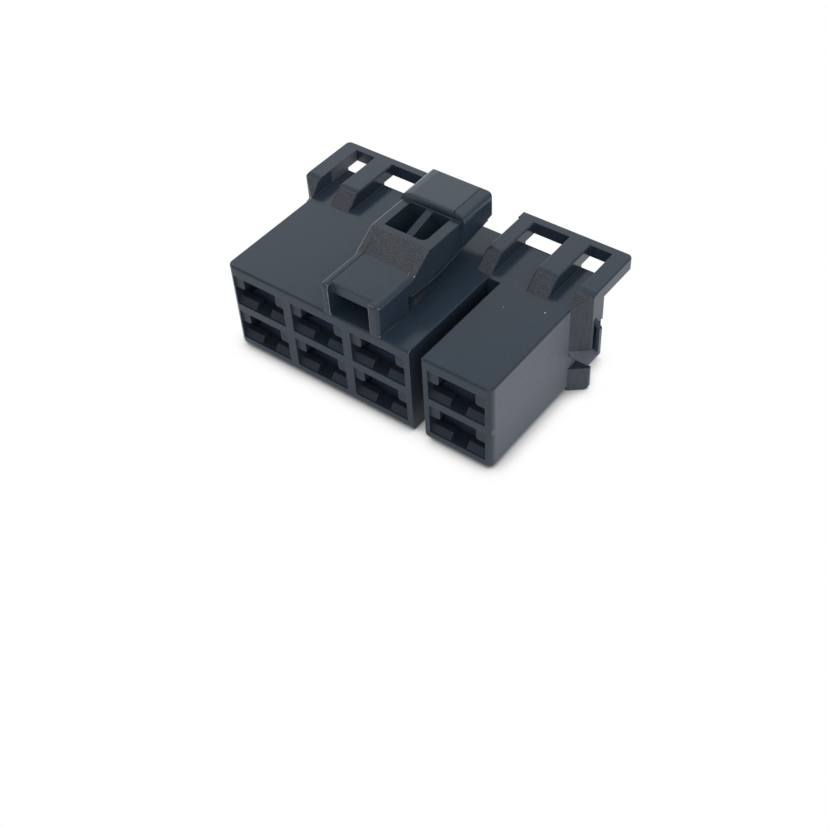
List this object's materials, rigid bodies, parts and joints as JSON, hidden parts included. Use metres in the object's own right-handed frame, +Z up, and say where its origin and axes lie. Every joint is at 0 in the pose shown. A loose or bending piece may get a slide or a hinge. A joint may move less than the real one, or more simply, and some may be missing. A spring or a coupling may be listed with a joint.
{
  "type": "electrical connector",
  "caption": "Black moulded housing for blade receptacle terminals, with a latch lever and thumb pad on top, a key slot in its mating face and a guard frame over the wire side.",
  "frame": {"origin": "centre of the bounding box, at the underside", "axes": "+X along the length with the narrow block at +X, +Y from the mating face to the wire side, +Z up towards the latch lever"},
  "size_m": [0.044, 0.026, 0.0197],
  "materials": {
    "black_plastic": "semi-gloss, with a fine grain on ramps and guards"
  },
  "bodies": {
    "root": {"housing": "black_plastic"}
  },
  "joints": []
}
